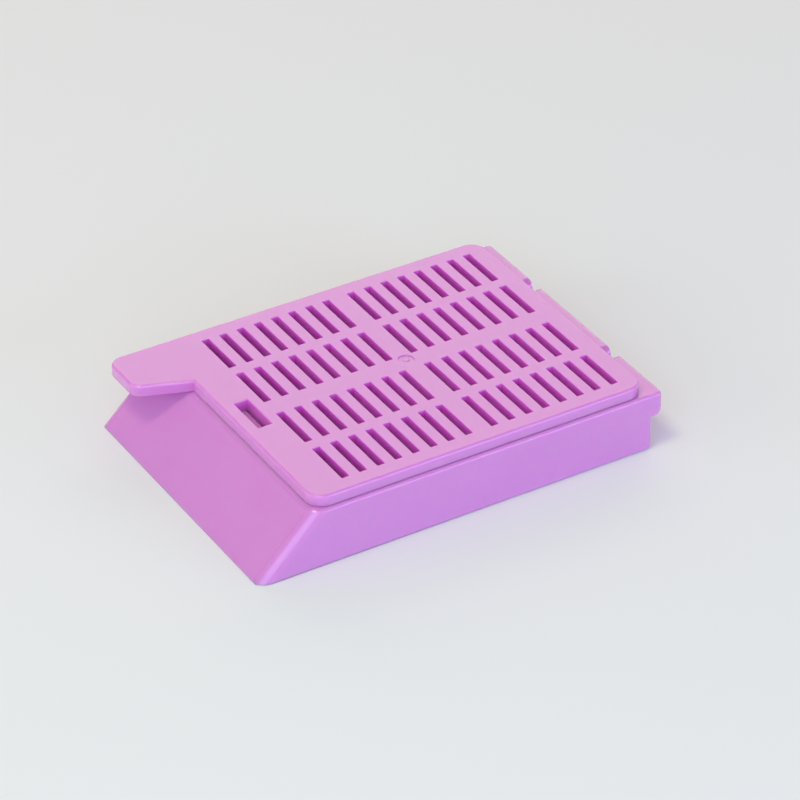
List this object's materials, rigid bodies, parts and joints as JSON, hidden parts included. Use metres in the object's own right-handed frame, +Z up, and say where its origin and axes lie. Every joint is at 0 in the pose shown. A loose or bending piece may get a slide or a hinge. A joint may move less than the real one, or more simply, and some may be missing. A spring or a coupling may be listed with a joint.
{
  "type": "tissue cassette",
  "caption": "Flat slotted specimen tray with a 45 degree writing panel and a slotted lid with a thumb tab, hinged at the rear, that holds tissue while it is processed and embedded.",
  "frame": {"origin": "middle of the footprint, on the surface that the tray stands on", "axes": "+Z up through the lid, -Y towards the writing panel, +Y towards the rear ledge and hinge, -X towards the side with the thumb tab"},
  "size_m": [0.0284, 0.0406, 0.0067],
  "materials": {
    "acetal": "satin injection-moulded acetal, violet, slightly translucent"
  },
  "bodies": {
    "base": {"base": "acetal"},
    "lid": {"lid": "acetal"}
  },
  "joints": [
    {"name": "lid_hinge", "type": "hinge", "parent": "base", "child": "lid", "pos_m": [0, 0.01957, 0.00495], "axis": [-1, 0, 0], "range_deg": [0, 100]}
  ]
}
